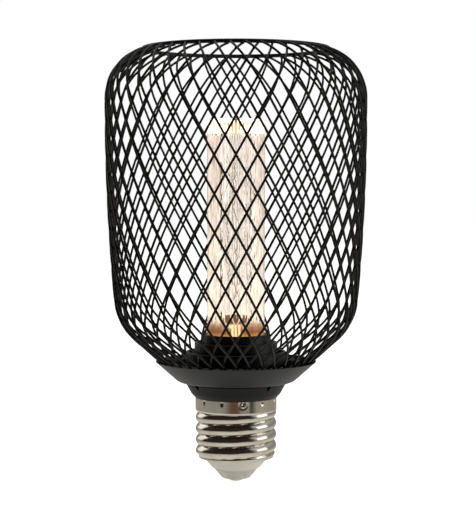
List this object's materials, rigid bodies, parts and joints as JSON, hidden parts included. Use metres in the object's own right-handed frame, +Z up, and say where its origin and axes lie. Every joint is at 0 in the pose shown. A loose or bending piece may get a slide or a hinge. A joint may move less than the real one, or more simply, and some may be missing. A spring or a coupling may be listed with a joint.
{
  "type": "led bulb",
  "caption": "Screw-base LED bulb with an open barrel-shaped cage of crossing black wires round a clear light column, on a black dish, housing and nickel screw cap.",
  "frame": {"origin": "centre of the bottom contact's face, the lowest point of the screw cap, on the bulb's axis", "axes": "+Z up the bulb's axis from the contact to the cage's open top, -Z the way the bulb screws into a lampholder, -Y the side that the picture shows, +X to its right"},
  "size_m": [0.0842, 0.0842, 0.1412],
  "materials": {
    "nickel_plate": "bright nickel plate on rolled sheet",
    "cap_insulator_white": "moulded, slight sheen",
    "contact_metal": "stamped, dull",
    "housing_black": "moulded, fine matt grain",
    "dish_charcoal": "fine matt powder coat",
    "wire_black": "satin black powder coat",
    "clear_acrylic": "polished clear",
    "holder_black": "moulded, satin",
    "board_white": "white solder resist",
    "chip_amber": "silicone over the dies, lit",
    "spreader_aluminium": "pressed",
    "board_green": "solder resist",
    "capacitor_sleeve": "shrunk sleeve",
    "inductor_ferrite": "sintered ferrite",
    "film_box": "moulded box",
    "chip_epoxy": "moulded epoxy",
    "resistor_coat": "dipped coat",
    "lead_black": "insulated lead",
    "lead_white": "insulated lead",
    "lead_red": "insulated lead"
  },
  "bodies": {
    "root": {"screw_shell": "nickel_plate", "cap_insulator": "cap_insulator_white", "centre_contact": "contact_metal", "driver_housing": "housing_black", "cage_dish": "dish_charcoal", "cage_outer_wires": "wire_black", "cage_inner_wires": "wire_black", "cage_top_ring": "wire_black", "cage_base_ring": "wire_black", "light_guide": "clear_acrylic", "guide_holder": "holder_black", "led_board": "board_white", "led_chips": "chip_amber", "heat_spreader": "spreader_aluminium", "driver_board": "board_green", "reservoir_capacitor": "capacitor_sleeve", "filter_inductor": "inductor_ferrite", "film_capacitor": "film_box", "bridge_rectifier": "chip_epoxy", "driver_chip": "chip_epoxy", "fusible_resistor": "resistor_coat", "contact_lead": "lead_black", "shell_lead": "lead_white", "led_lead_positive": "lead_red", "led_lead_negative": "lead_black"}
  },
  "joints": []
}
